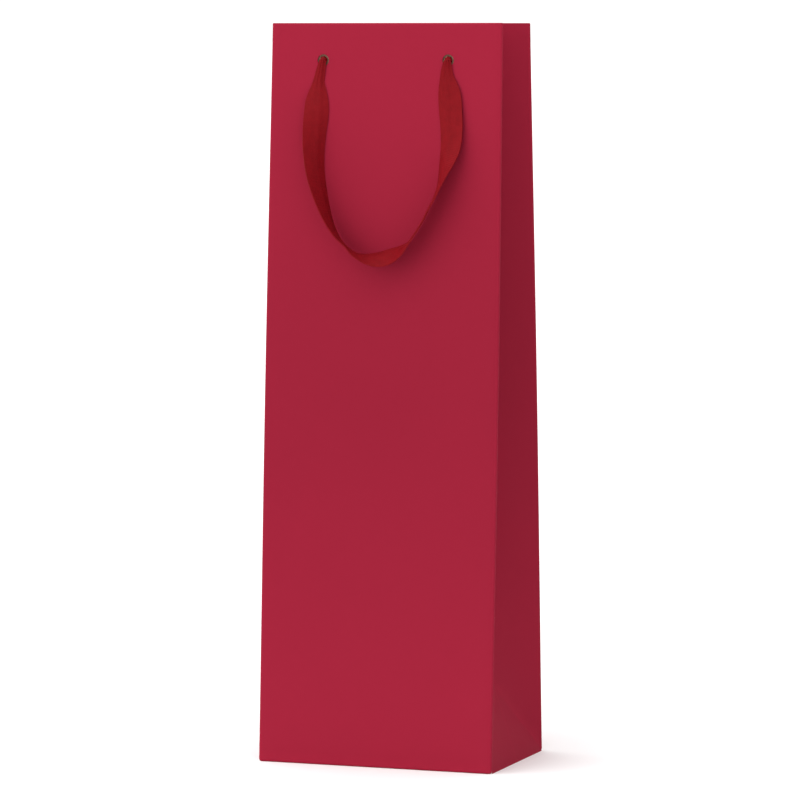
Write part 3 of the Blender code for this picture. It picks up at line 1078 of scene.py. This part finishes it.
def tail_section(angle, v):
    """The tail's flattened ring, opening towards its cut end."""
    opened = min(v / 0.05, (1 - v) / 0.02, 1.0)
    wide = TAIL_HALF_WIDTH + TAIL_SPREAD * eased(v)
    thick = math.sin(angle) * TAIL_THICK + TAIL_CURL * math.cos(2 * angle) * v
    return Vector((math.cos(angle) * wide, thick, 0)) * max(opened, 0)


class GIFTBAG_OT_knots(bpy.types.Operator):
    """Build the four bunched necks with the overhand knots inside the bag"""

    bl_idname = "gift_bag.knots"
    bl_label = "Knots"

    def execute(self, context):
        for word, turn in (("front", Matrix.Identity(4)), ("back", BACK)):
            for side in (-1, 1):
                hand = "left" if side < 0 else "right"
                seen = hand if word == "front" else {"left": "right", "right": "left"}[hand]
                tied = bmesh.new()
                parts = (
                    (42, spread(0, 1, 25), neck_centre, neck_section),
                    (20, spread(0, 1, 97), knot_centre, knot_section),
                    (24, spread(0, 1, 25), tail_centre, tail_section),
                )
                for sides, stations, centre, section in parts:
                    tube = rounded_tube(sides, stations, centre, section)
                    bmesh.ops.scale(tube, vec=(side, 1, 1), verts=tube.verts)
                    bmesh.ops.recalc_face_normals(tube, faces=tube.faces)
                    mesh = bpy.data.meshes.new("strand")
                    tube.to_mesh(mesh)
                    tube.free()
                    tied.from_mesh(mesh)
                    bpy.data.meshes.remove(mesh)
                hole = Vector((side * sizes().hole_spacing / 2, wall_y(SWING_AXIS.z), SWING_AXIS.z))
                hole.z += SLOPE * (wall_y(SWING_AXIS.z) - SWING_AXIS.y)
                place = Matrix.Translation(hole) @ Matrix.Rotation(-LEAN, 4, "X")
                bmesh.ops.transform(tied, matrix=place, verts=tied.verts)
                name = f"{word}_{seen}_tied_knot"
                piece = finished(name, tied, (woven_ribbon(),), turn)
                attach(piece, f"{word}_wall")
                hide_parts(f"{word}_{seen}_knot")
        return {"FINISHED"}


# Stage


def aimed(kind, name, place, target):
    """An object that points at a target."""
    item = bpy.data.objects.new(name, kind)
    item.location = place
    item.rotation_euler = (Vector(target) - Vector(place)).to_track_quat("-Z", "Y").to_euler()
    bpy.context.scene.collection.objects.link(item)
    return item


def broad_light(name, place, target, strength, softness):
    """A broad, even light from far off: softness is the angle it covers."""
    light = bpy.data.lights.new(name, "SUN")
    light.energy = strength
    light.angle = softness
    return aimed(light, name, place, target)


def studio_surround(name, backdrop_way, behind, left, right):
    """White backdrop that way behind the bag, in a room that is lit from its left."""
    world = bpy.data.worlds.new(name)
    world.use_nodes = True
    tree = world.node_tree
    way = add_node(tree, "ShaderNodeTexCoord").outputs["Generated"]
    axes = add_node(tree, "ShaderNodeSeparateXYZ", {"Vector": way})
    room = add_node(
        tree,
        "ShaderNodeMapRange",
        {
            "Value": axes.outputs["X"],
            "From Min": -0.8,
            "From Max": 0.8,
            "To Min": left,
            "To Max": right,
        },
        interpolation_type="SMOOTHSTEP",
    )
    towards = add_node(
        tree, "ShaderNodeVectorMath", {0: way, 1: backdrop_way}, operation="DOT_PRODUCT"
    )
    level = add_node(
        tree,
        "ShaderNodeMapRange",
        {
            "Value": towards.outputs["Value"],
            "From Min": math.cos(math.radians(32)),
            "From Max": math.cos(math.radians(15)),
            "To Min": room.outputs["Result"],
            "To Max": behind,
        },
        interpolation_type="SMOOTHSTEP",
    )
    sky = tree.nodes["Background"]
    sky.inputs["Color"].default_value = (1, 1, 1, 1)
    tree.links.new(level.outputs["Result"], sky.inputs["Strength"])
    return world


def studio_floor():
    """Painted white floor, dull."""
    material, _, shader = new_material("matt_white_floor")
    shader.inputs["Base Color"].default_value = shaded(colours().floor, 1.0)
    shader.inputs["Roughness"].default_value = 0.9
    shader.inputs["Specular IOR Level"].default_value = 0.1
    return material


class GIFTBAG_OT_stage(bpy.types.Operator):
    """Build the floor, the soft light and the camera"""

    bl_idname = "gift_bag.stage"
    bl_label = "Stage"

    def execute(self, context):
        scene = context.scene
        settings = scene.gift_bag_stage
        ground = bmesh.new()
        bmesh.ops.create_grid(ground, x_segments=1, y_segments=1, size=300.0)
        floor = finished("floor", ground, (studio_floor(),))
        across = Vector((math.cos(settings.azimuth), math.sin(settings.azimuth), 0))
        target = Vector((0, 0, settings.aim_height)) - across * settings.aim_left
        key = broad_light(
            "key_light", (-1.6, -2.3, 1.5), target, settings.key, settings.key_softness
        )
        top = broad_light(
            "top_light", (0.0, -0.4, 3.0), target, settings.top, settings.top_softness
        )
        backdrop_way = (-math.sin(settings.azimuth), math.cos(settings.azimuth), 0)
        scene.world = studio_surround(
            "white_backdrop_and_room",
            backdrop_way,
            settings.backdrop,
            settings.room_left,
            settings.room_right,
        )
        scene.view_settings.view_transform = "Standard"
        lens = bpy.data.cameras.new("camera")
        lens.lens = settings.lens
        level = math.cos(settings.elevation) * settings.distance
        place = target + Vector(
            (
                math.sin(settings.azimuth) * level,
                -math.cos(settings.azimuth) * level,
                math.sin(settings.elevation) * settings.distance,
            )
        )
        camera = aimed(lens, "camera", place, target)
        scene.camera = camera
        return {"FINISHED"}


class GIFTBAG_PT_panel(bpy.types.Panel):
    """Lists the bag's parts, sizes and colours in the sidebar"""

    bl_idname = "GIFTBAG_PT_panel"
    bl_label = "Gift Bag"
    bl_space_type = "VIEW_3D"
    bl_region_type = "UI"
    bl_category = "Gift Bag"

    def draw(self, context):
        column = self.layout.column()
        for operator in OPERATORS:
            column.operator(operator.bl_idname)
        for group in ("gift_bag_sizes", "gift_bag_colours", "gift_bag_stage"):
            box = column.box()
            settings = getattr(context.scene, group)
            for name in settings.__annotations__:
                box.prop(settings, name)


OPERATORS = (
    GIFTBAG_OT_walls,
    GIFTBAG_OT_gussets,
    GIFTBAG_OT_base,
    GIFTBAG_OT_handles,
    GIFTBAG_OT_knots,
    GIFTBAG_OT_stage,
)
GROUPS = (GiftBagSizes, GiftBagColours, GiftBagStage)


def register():
    """Adds the classes and the scene's settings."""
    for item in (*GROUPS, *OPERATORS, GIFTBAG_PT_panel):
        bpy.utils.register_class(item)
    bpy.types.Scene.gift_bag_sizes = PointerProperty(type=GiftBagSizes)
    bpy.types.Scene.gift_bag_colours = PointerProperty(type=GiftBagColours)
    bpy.types.Scene.gift_bag_stage = PointerProperty(type=GiftBagStage)


def unregister():
    """Takes the classes and the scene's settings away again."""
    del bpy.types.Scene.gift_bag_stage
    del bpy.types.Scene.gift_bag_colours
    del bpy.types.Scene.gift_bag_sizes
    for item in reversed((*GROUPS, *OPERATORS, GIFTBAG_PT_panel)):
        bpy.utils.unregister_class(item)


def main():
    """Builds every piece."""
    register()
    bpy.ops.gift_bag.walls()
    bpy.ops.gift_bag.gussets()
    bpy.ops.gift_bag.base()
    bpy.ops.gift_bag.handles()
    bpy.ops.gift_bag.knots()
    bpy.ops.gift_bag.stage()


if __name__ == "__main__":
    main()
